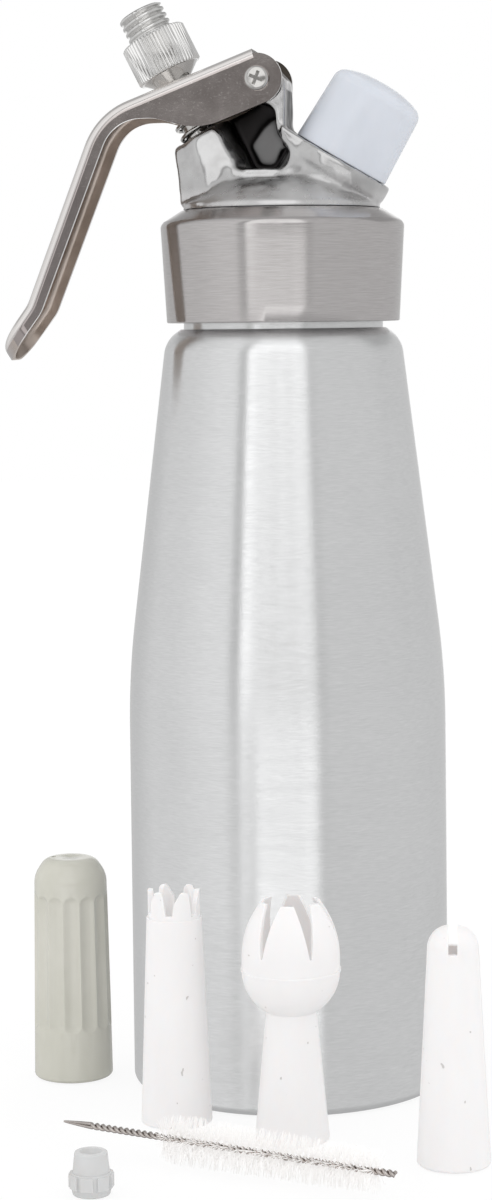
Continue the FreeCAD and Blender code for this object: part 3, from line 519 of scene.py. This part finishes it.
grip_skin = [(STEM_HOLE_R, KNURL_LOW), (8.7, KNURL_LOW), (9.3, KNURL_LOW + 0.12),
             (KNURL_R, KNURL_LOW + CHAMFER), (KNURL_R, KNURL_HIGH - CHAMFER),
             (9.2, KNURL_HIGH - 0.06), (8.7, KNURL_HIGH), (5.8, KNURL_HIGH)]
grip = bmesh.new()
lathe(grip, grip_skin, 8 * RIDGES, knurl)
tip_bore = [(TIP_R - 0.6, TIP_TOP), (3.6, TIP_TOP), (3.6, TIP_TOP - 3.9), (STEM_HOLE_R, TIP_TOP - 4.0),
            (STEM_HOLE_R, KNURL_LOW)]
lathe(grip, stacked(TIP_R, KNURL_HIGH - 0.2, TIP_TOP - 0.4, 0.1) + tip_bore, 144,
      thread(TIP_R, depth=0.95, pitch=1.9, low=KNURL_HIGH + 0.1, high=TIP_TOP + 0.6))
stand_in(piece_from(grip, "knurled_adapter", nickel, VALVE), "nozzle_adapter", "valve")

# ------------------------------------------------------------------ lever
# Pressed stainless channel, polished outside and left brown from the mill inside. Fine scratches
# from use cross its flanks. Its cut edges and what faces up and out carry a painted highlight, and
# the arm and the inside by the pivot carry painted shade.
FLANK_Y = (0.01012, 0.0102)


def polished_lever():
    """Polish with painted shade down the lever's arm, a painted highlight on what faces up and out and on
    the cut edges of its flanks, brown inside, with painted shade inside towards the pivot.
    """
    material, shader, add, join = new_finish("polished_stainless")
    where = add("ShaderNodeSeparateXYZ", in_Vector=add("ShaderNodeTexCoord").outputs["Object"])
    facing = add("ShaderNodeSeparateXYZ", in_Vector=add("ShaderNodeNewGeometry").outputs["Normal"])
    aside = maths(add, "ABSOLUTE", where.outputs["Y"])
    outward = maths(add, "SUBTRACT", facing.outputs["Z"], facing.outputs["X"])
    within = spread(add, aside, 1.0, 0.0, *FLANK_Y)
    mill = maths(add, "MULTIPLY", within, spread(add, outward, 1.0, 0.0, 0.1, 0.3))
    rubbed = grain(add, (420.0, 900.0, 2400.0), 3.0, 0.7)
    pits = grain(add, (1500.0, 1500.0, 1500.0), 2.0)
    slow = grain(add, (90.0, 90.0, 90.0), 3.0)
    marks = spread(add, maths(add, "MAXIMUM", rubbed, pits), 0.0, 0.34, 0.6, 0.72)
    bright = blended(add, spread(add, slow, 0.0, 1.0), (0.46, 0.415, 0.4), (0.54, 0.495, 0.48))
    bright = blended(add, marks, bright, (0.8, 0.77, 0.76))
    # Painted shade down the lever's arm.
    painted_arm_shade = spread(add, where.outputs["X"], 0.8, 0.0, -0.06, -0.046)
    bright = blended(add, painted_arm_shade, bright, (0.33, 0.295, 0.29))
    # Painted highlight on what faces up and out.
    bright = blended(add, spread(add, outward, 0.0, 1.0, 0.15, 0.5), bright, (0.93, 0.9, 0.88))
    # Painted highlight on the cut edges of the flanks.
    flat = spread(add, maths(add, "ABSOLUTE", facing.outputs["Y"]), 1.0, 0.0, 0.2, 0.5)
    painted_rim_highlight = maths(add, "MULTIPLY", spread(add, aside, 0.0, 1.0, *FLANK_Y), flat)
    bright = blended(add, painted_rim_highlight, bright, (0.96, 0.95, 0.94))
    brown = blended(add, spread(add, slow, 0.0, 1.0), (0.46, 0.395, 0.345), (0.64, 0.56, 0.505))
    # Painted shade inside the lever, over the pocket and towards the pivot.
    painted_pivot_shade = spread(add, where.outputs["X"], 0.0, 0.9, -0.014, -0.006)
    brown = blended(add, painted_pivot_shade, brown, (0.03, 0.025, 0.02))
    join(blended(add, mill, bright, brown), shader.inputs["Base Color"])
    gloss = maths(add, "ADD", spread(add, slow, 0.09, 0.15), maths(add, "MULTIPLY", mill, 0.22))
    join(maths(add, "ADD", gloss, maths(add, "MULTIPLY", marks, 0.1)), shader.inputs["Roughness"])
    shader.inputs["Metallic"].default_value = 1.0
    relief(add, join, shader, maths(add, "ADD", rubbed, pits), 0.1)
    return material


dress(polished_lever(), "lever")

# ------------------------------------------------------------------ pivot screw
# Bright steel pan-head screw with a cross recess. It passes through the lever's ears and the lug of
# the head into a sleeve nut, and the lever turns on it.
PIVOT = Matrix.Translation(joints["lever_squeeze"]["pos_m"]) @ Matrix.Rotation(math.radians(90.0), 4, "X")
SHANK_R = 1.9
PAN_R = 3.6
PAN_LOW = 11.8
PAN_TOP = 14.0


def cross_punch(face, width, length, depth):
    """Tapered cross that is sunk into a screw head, in millimetres. It stands turned from upright."""
    punch = bmesh.new()
    for turn in (68, 158):
        arm = bmesh.ops.create_cube(punch, size=1.0)["verts"]
        for v in arm:
            taper = 1.0 if v.co.z > 0 else 0.55
            v.co.x *= length * taper
            v.co.y *= width * (0.5 + taper / 2)
            v.co.z = face + v.co.z * 2 * depth
        bmesh.ops.rotate(punch, verts=arm, matrix=Matrix.Rotation(math.radians(turn), 3, "Z"))
    bmesh.ops.scale(punch, vec=(0.001, 0.001, 0.001), verts=punch.verts)
    return punch


def carved(piece, punch, place):
    """Sinks each closed part of a bmesh into a piece."""
    tool = piece_from(punch, "punch", piece.data.materials[0], place)
    sink = piece.modifiers.new("sink", "BOOLEAN")
    sink.object = tool
    sink.solver = "EXACT"
    sink.use_self = True
    cut = bpy.data.meshes.new_from_object(piece.evaluated_get(bpy.context.evaluated_depsgraph_get()))
    piece.modifiers.clear()
    piece.data = cut
    cut.shade_smooth()
    cut.set_sharp_from_angle(angle=math.radians(35))
    bpy.data.objects.remove(tool)
    return piece


screw = bmesh.new()
lathe(screw, rounded([
    (0, -0.2, 0), (SHANK_R, -0.2, 0), (SHANK_R, PAN_LOW, 0), (PAN_R, PAN_LOW, 0),
    (PAN_R, PAN_TOP - 0.5, 1.2), (0, PAN_TOP, 0)], 8), 96)
pan_screw = carved(piece_from(screw, "cross_screw", steel, PIVOT, crease=40.0),
                   cross_punch(PAN_TOP, width=1.15, length=5.6, depth=1.5), PIVOT)
stand_in(pan_screw, "pivot_screw", "head")

# ------------------------------------------------------------------ charger stud
# Turned brass stud, fixed in the head, that the charger holder screws onto. The hollow piercing
# pin stands in its recess.
STUD_R = 9.0
STUD_TOP = 13.0
GAS_HOLE_R = 1.5
GAS_HOLE_LOW = -12.0

stud_foot = [(GAS_HOLE_R, GAS_HOLE_LOW), (7.0, GAS_HOLE_LOW), (7.0, 0.0), (11.0, 0.0), (11.0, 2.0),
             (STUD_R, 2.0)]
stud_recess = [(STUD_R - 0.6, STUD_TOP), (5.0, STUD_TOP), (5.0, 7.0), (2.52, 7.0), (2.52, 4.0),
               (GAS_HOLE_R, 4.0), (GAS_HOLE_R, GAS_HOLE_LOW)]
stud = bmesh.new()
lathe(stud, stud_foot + stacked(STUD_R, 2.05, STUD_TOP - 0.6, 0.12) + stud_recess, 128,
      thread(STUD_R, depth=0.75, pitch=1.5, low=2.4, high=STUD_TOP + 1.0))
stand_in(piece_from(stud, "threaded_stud", brass, CHARGER), "charger_stud", "head")

# ------------------------------------------------------------------ charger cap
# Bluish white moulded cap, pushed over the charger stud. It has a soft dome, and a recess at its
# mouth for the stud's flange.
CAP_BORE_R = 9.3
CAP_FOOT = 0.05
CAP_FOOT_R = 14.65
CAP_TOP = 24.9


def moulded(name, shade, light, roughness, glow, mottle, specks=0.0, painted_glow=0.0):
    """Moulded plastic with flow marks. Glow lets light pass into it, its emission is a painted glow of its
    own, and specks are its dark dots.
    """
    material, shader, add, join = new_finish(name)
    flow = grain(add, (60.0, 60.0, 35.0), 3.0)
    fine = grain(add, (1500.0, 1500.0, 1500.0), 2.0)
    color = blended(add, maths(add, "MULTIPLY", spread(add, flow, 0.0, 1.0), mottle), light, shade)
    if specks:
        spots = grain(add, (700.0, 700.0, 700.0), 0.0)
        color = blended(add, spread(add, spots, 0.0, specks, 0.84, 0.855), color, (0.3, 0.27, 0.25))
    join(color, shader.inputs["Base Color"])
    join(spread(add, fine, roughness * 0.85, roughness * 1.15), shader.inputs["Roughness"])
    shader.inputs["Subsurface Weight"].default_value = glow
    shader.inputs["Subsurface Radius"].default_value = (0.006, 0.0052, 0.0048)
    # Painted glow: the plastic gives off faint light of its own.
    shader.inputs["Emission Color"].default_value = (1.0, 0.93, 0.88, 1.0)
    shader.inputs["Emission Strength"].default_value = painted_glow
    skin = maths(add, "ADD", maths(add, "MULTIPLY", fine, 0.4), maths(add, "MULTIPLY", flow, 4.0))
    relief(add, join, shader, skin, 0.1)
    return material


cap = bmesh.new()
lathe(cap, rounded([
    (0, 20.8, 0), (CAP_BORE_R, 20.8, 0), (CAP_BORE_R, 2.3, 0), (CAP_BORE_R + 2.0, 2.3, 0),
    (CAP_BORE_R + 2.0, CAP_FOOT, 0), (13.05, CAP_FOOT, 0), (CAP_FOOT_R, CAP_FOOT, 0.4),
    (CAP_FOOT_R - 0.85, 22.2, 3.7), (7.0, CAP_TOP - 0.28, 24.0), (0, CAP_TOP, 0)], 12), 160)
bluish = moulded("bluish_plastic", shade=(0.62, 0.65, 0.705), light=(0.7, 0.73, 0.79), roughness=0.22,
                 glow=0.3, mottle=0.6)
stand_in(piece_from(cap, "domed_cap", bluish, CHARGER), "charger_cap", "charger_cap")

# ------------------------------------------------------------------ charger holder
# Ivory grey moulded sleeve that carries a gas charger. It has wide flutes for a wet hand and a
# small vent in its closed end.
HOLDER = Matrix.Translation((-0.0652, -0.0079, 0))
SLEEVE_R = 11.8
SLEEVE_TOP = 66.5
SLEEVE_BORE_R = 9.3
SHOULDER_LOW = 61.5
FLUTES = 14
FLUTE_DEPTH = 0.9
FLUTE_LOW = 17.2
FLUTE_HIGH = 54.2


def flute(a, r, z):
    """Wide hollows down the grip, round at both ends and with soft ridges between them."""
    if r < SLEEVE_BORE_R + 0.9:
        return r, z
    across = 2 * abs((FLUTES * a / (2 * math.pi) + 0.5) % 1.0 - 0.5)
    past = max(0.0, FLUTE_LOW - z, z - FLUTE_HIGH) / 2.0
    return r - FLUTE_DEPTH * max(0.0, 1.0 - (across / 0.94) ** 2 - past ** 2), z


# The wall narrows towards the top. Close rows at both ends of the flutes go in past the foot's arc.
draft = 1.0 / SHOULDER_LOW
sleeve_skin = rounded([(SLEEVE_BORE_R, 0, 0), (SLEEVE_R, 0, 1.2), (SLEEVE_R - 1.0, SHOULDER_LOW, 8.0),
                       (7.4, SLEEVE_TOP, 4.0), (1.0, SLEEVE_TOP, 0)], 8)
flute_ends = [low + 0.3 * k for low in (FLUTE_LOW - 2.1, FLUTE_HIGH - 0.3) for k in range(9)]
past_foot = 10
sleeve_skin[past_foot:past_foot] = [(SLEEVE_R - draft * z, z) for z in flute_ends]
sleeve = bmesh.new()
lathe(sleeve, sleeve_skin + [(0.7, SLEEVE_TOP - 0.2), (0, SLEEVE_TOP - 0.2)], 14 * FLUTES, flute)
lathe(sleeve, rounded([(SLEEVE_BORE_R, 0, 0), (SLEEVE_BORE_R, 58.5, 6.0), (0, 62.5, 0)], 8), 14 * FLUTES)
vent = bmesh.new()
bar(vent, radius=0.0008, length=0.014, place=Matrix.Translation((-0.005, 0, 0.063)))
ivory = moulded("ivory_plastic", shade=(0.57, 0.565, 0.49), light=(0.66, 0.65, 0.585), roughness=0.12,
                glow=0.0, mottle=0.7)
holder = carved(piece_from(sleeve, "fluted_sleeve", ivory, HOLDER), vent, HOLDER)
holder.visible_glossy = False
stand_in(holder, "charger_holder", "charger_holder")

# ------------------------------------------------------------------ decorating nozzles and tip cap
# White moulded nozzles: crown, tulip and slot, with a few dark specks from use, and the small cap
# in milky plastic. None of them shows in the bottle's shine.
# The white nozzles carry a faint painted glow.
white = moulded("white_plastic", shade=(0.81, 0.8, 0.805), light=(0.845, 0.84, 0.845), roughness=0.34,
                glow=0.8, mottle=0.6, specks=0.5, painted_glow=0.1)
milky = moulded("milky_plastic", shade=(0.59, 0.575, 0.555), light=(0.68, 0.685, 0.69), roughness=0.2,
                glow=0.3, mottle=0.6)
dress(white, "crown_nozzle", "tulip_nozzle", "slot_nozzle")
dress(milky, "tip_cap")
for loose in ("crown_nozzle", "tulip_nozzle", "slot_nozzle", "tip_cap"):
    frame["nodes"][loose].visible_glossy = False

# ------------------------------------------------------------------ cleaning brush
# Two steel wires twisted together with nylon filaments caught between them. The filaments turn
# with the twist, and at one end the wires close into a point.
BRUSH = (Matrix.Translation((-0.0522, -0.0804, 0.0072)) @ Matrix.Rotation(math.radians(-20.7), 4, "Z")
         @ Matrix.Rotation(math.radians(90.0), 4, "Y"))
TWIST = 0.0038
STRAND_R = 0.00052
STRAND_START = 0.0004
STRAND_RUN = 0.1018
STRAND_STEPS = 520
BLADE_RUN = 2.5 * TWIST
TUFT_START = 0.0322
TUFT_RUN = 0.0652
TUFT_R = 0.0071
FILAMENTS = 1800

wires = bmesh.new()
for side in (0, 1):
    strand = []
    radii = []
    for i in range(STRAND_STEPS + 1):
        s = STRAND_START + STRAND_RUN * i / STRAND_STEPS
        blade = min(1.0, s / BLADE_RUN) ** 0.7
        spin = 2 * math.pi * max(s, BLADE_RUN) / TWIST + math.pi * side
        strand.append(Vector((STRAND_R * blade * math.cos(spin), STRAND_R * blade * math.sin(spin), s)))
        radii.append(STRAND_R * (0.35 + 0.65 * blade))
    swept(wires, strand, radii, 8)
wire_steel = plain("drawn_wire", (0.66, 0.61, 0.58), 0.16, metallic=1.0, mottle=0.7, bump=0.2)
shaft = piece_from(wires, "brush_shaft", wire_steel, BRUSH, crease=60.0)
stand_in(shaft, "brush_wire", "brush")

nylon, shader, add, join = new_finish("nylon")
join(blended(add, grain(add, (900.0, 900.0, 900.0), 1.0), (0.95, 0.93, 0.92), (0.99, 0.985, 0.98)),
     shader.inputs["Base Color"])
join(spread(add, grain(add, (300.0, 300.0, 300.0), 1.0), 0.45, 0.6), shader.inputs["Roughness"])
# Painted glow: the filaments give off faint light of their own.
shader.inputs["Emission Color"].default_value = (1.0, 0.97, 0.94, 1.0)
shader.inputs["Emission Strength"].default_value = 0.07
dice = random.Random(7)
tufts = bmesh.new()
for i in range(FILAMENTS):
    along = TUFT_RUN * i / FILAMENTS
    s = TUFT_START + along
    turn = 2 * math.pi * s / TWIST + math.pi * (i % 2) + dice.gauss(0.0, 0.3)
    taper = TUFT_R - 0.0010 * along / TUFT_RUN
    reach = taper * dice.uniform(0.9, 0.99) * min(1.0, 0.8 + along / 0.02)
    lean = dice.gauss(0.0, 0.0005)
    out = Vector((math.cos(turn), math.sin(turn), 0.0))
    bow = Vector((-out.y, out.x, 0.0)) * dice.gauss(0.0, 0.0006)
    root = out * 0.0004 + Vector((0, 0, s))
    middle = out * reach * 0.6 + bow * 0.4 + Vector((0, 0, s + lean * 0.4))
    end = out * reach + bow + Vector((0, 0, s + lean))
    swept(tufts, [root, middle, end], [0.00008, 0.000075, 0.00006], 3)
filaments = piece_from(tufts, "brush_filaments", nylon, BRUSH, crease=60.0)
stand_in(filaments, "brush_bristles", "brush")

# ------------------------------------------------------------------ studio
# White room that only shiny surfaces reflect: a tall soft lamp in front, a darker gap beside it,
# and a small dark patch where the camera stands. All else stands in plain white light, on a white
# table that keeps a faint shadow.
world = bpy.data.worlds.new("studio")
bpy.context.scene.world = world
world.use_nodes = True
sky, join_sky = wiring(world.node_tree)
GREY = (0.5, 0.5, 0.5)
LAMP_WHITE = (1.2, 1.2, 1.2)
CAMERA_DARK = (0.1, 0.095, 0.09)
REAR_LEVEL = 0.42
TABLE_Z = -0.0003
CAMERA_PLACE = (0.1150, -0.8011, 0.2266)
CAMERA_HEADING = 8.2
CAMERA_TURN = 9.015
CAMERA_DIP = 5.86
CAMERA_ROLL = -0.70
FOCAL_LENGTH = 82.4


def ramp(value, stops):
    """Grey level that runs straight between stops, each a place from 0 to 1 and its level."""
    node = sky("ShaderNodeValToRGB", in_Fac=value)
    points = node.color_ramp.elements
    while len(points) > 1:
        points.remove(points[-1])
    points[0].position = stops[0][0]
    points[0].color = (*[stops[0][1]] * 3, 1.0)
    for place, level in stops[1:]:
        points.new(place).color = (*[level] * 3, 1.0)
    return node.outputs["Color"]


def at(degrees):
    """Place on the ring of a heading counted from the camera, to its right."""
    return 0.5 + (degrees + CAMERA_HEADING) / 360.0


heading = sky("ShaderNodeSeparateXYZ", in_Vector=sky("ShaderNodeTexCoord").outputs["Generated"])
towards = maths(sky, "MULTIPLY", heading.outputs["Y"], -1.0)
bearing = maths(sky, "ARCTAN2", heading.outputs["X"], towards)
share = maths(sky, "ADD", maths(sky, "DIVIDE", bearing, 2 * math.pi), 0.5)
height = maths(sky, "MULTIPLY_ADD", heading.outputs["Z"], 0.5, 0.5)

# The ring that upright walls reflect, level by level. Its left edge leans out towards the floor.
foot_lean = spread(sky, heading.outputs["Z"], 0.034, 0.0, -0.23, -0.09)
lean_part = ramp(share, [(at(-110), 0.0), (at(-50), 1.0), (at(-12), 1.0), (at(20), 0.0)])
ring_place = maths(sky, "SUBTRACT", share, maths(sky, "MULTIPLY", foot_lean, lean_part))
ring_light = ramp(ring_place, [
    (0.0, 1.05), (at(-176), 1.0), (at(-168), 0.56), (at(-142), 0.6), (at(-116), 0.73), (at(-92), 0.74),
    (at(-62), 0.84), (at(-45), 0.85), (at(-41), 0.5), (at(-36.5), 0.49), (at(-33.5), 1.33), (at(-23), 1.23),
    (at(-17), 1.31), (at(-9), 1.17), (at(-3), 1.3), (at(4), 1.18), (at(11), 1.31), (at(20), 1.24),
    (at(24), 0.68), (at(110), 0.66), (at(155), 0.6), (at(166), 0.6), (at(171.8), 1.0)])

# Overhead, the lamp goes on as a tall panel, the front is as bright as the ring, and the rear is
# dark but for one narrow strip. Straight above it is grey, as is the floor.
front = ramp(share, [(at(-118), 0.0), (at(-104), 1.0), (at(96), 1.0), (at(110), 0.0)])
strip_across = ramp(share, [(0.0, 0.95), (0.04, 0.95), (0.07, 0.0), (0.93, 0.0), (0.96, 0.95)])
strip_up = ramp(height, [(0.9, 0.0), (0.925, 1.0), (0.965, 1.0), (0.98, 0.0)])
rear = maths(sky, "MAXIMUM", maths(sky, "MULTIPLY", strip_across, strip_up), REAR_LEVEL)
lamp_across = ramp(share, [(at(-35), 0.0), (at(-32), 1.0), (at(20), 1.0), (at(23), 0.0)])
lamp_up = ramp(height, [(0.79, 0.0), (0.85, 1.0)])
panel = blended(sky, maths(sky, "MULTIPLY", lamp_across, lamp_up), ring_light, LAMP_WHITE)
top = ramp(height, [(0.93, 0.0), (0.98, 1.0)])
overhead = blended(sky, top, blended(sky, front, rear, panel), GREY)
caps = blended(sky, maths(sky, "GREATER_THAN", height, 0.5), GREY, overhead)
ring_up = ramp(height, [(0.0, 0.0), (0.2, 0.1), (0.3, 1.0), (0.62, 1.0), (0.7, 0.0), (1.0, 0.0)])
walls = blended(sky, ring_up, caps, ring_light)

# The dark patch round the camera.
aside = maths(sky, "ABSOLUTE", maths(sky, "SUBTRACT", share, at(0)))
drop = maths(sky, "ABSOLUTE", maths(sky, "SUBTRACT", heading.outputs["Z"], 0.05))
patch_across = spread(sky, aside, 1.0, 0.0, 0.055, 0.085)
patch_up = spread(sky, drop, 1.0, 0.0, 0.08, 0.12)
patch = maths(sky, "MULTIPLY", maths(sky, "MULTIPLY", patch_across, patch_up), 0.84)
room = blended(sky, patch, walls, CAMERA_DARK)

path = sky("ShaderNodeLightPath")
plain_light = blended(sky, path.outputs["Is Camera Ray"], (1.1, 1.1, 1.1), (1.0, 1.0, 1.0))
join_sky(blended(sky, path.outputs["Is Glossy Ray"], plain_light, room),
         world.node_tree.nodes["Background"].inputs["Color"])

sheet = bmesh.new()
bmesh.ops.create_grid(sheet, x_segments=1, y_segments=1, size=3.0)
table = shown("table", mesh_of(sheet, "table"))
table.location.z = TABLE_Z
table_white, shader, add, join = new_finish("table_white")
shader.inputs["Base Color"].default_value = (0.9, 0.9, 0.9, 1.0)
shader.inputs["Roughness"].default_value = 0.8
rays = add("ShaderNodeLightPath")
glow = add("ShaderNodeEmission", in_Color=(1.0, 1.0, 1.0, 1.0), in_Strength=1.02)
seen = maths(add, "MAXIMUM", rays.outputs["Is Camera Ray"], rays.outputs["Is Transmission Ray"])
lit = add("ShaderNodeMixShader", in_0=maths(add, "MULTIPLY", seen, 0.86),
          in_1=shader.outputs[0], in_2=glow.outputs[0])
clear = add("ShaderNodeMixShader", in_0=rays.outputs["Is Glossy Ray"], in_1=lit.outputs[0],
            in_2=add("ShaderNodeBsdfTransparent").outputs[0])
join(clear.outputs[0], table_white.node_tree.nodes["Material Output"].inputs["Surface"])
table.data.materials.append(table_white)

# A long lens at the height of the shoulder, turned a little to the left and down.
lens = bpy.data.cameras.new("camera")
lens.sensor_width = 36.0
lens.lens = FOCAL_LENGTH
lens.clip_start = 0.05
camera = shown("camera", lens)
camera.matrix_world = (
    Matrix.Translation(CAMERA_PLACE)
    @ Matrix.Rotation(math.radians(CAMERA_TURN), 4, "Z")
    @ Matrix.Rotation(math.radians(90.0 - CAMERA_DIP), 4, "X")
    @ Matrix.Rotation(math.radians(CAMERA_ROLL), 4, "Z"))
bpy.context.scene.camera = camera
bpy.context.scene.view_settings.view_transform = "Standard"
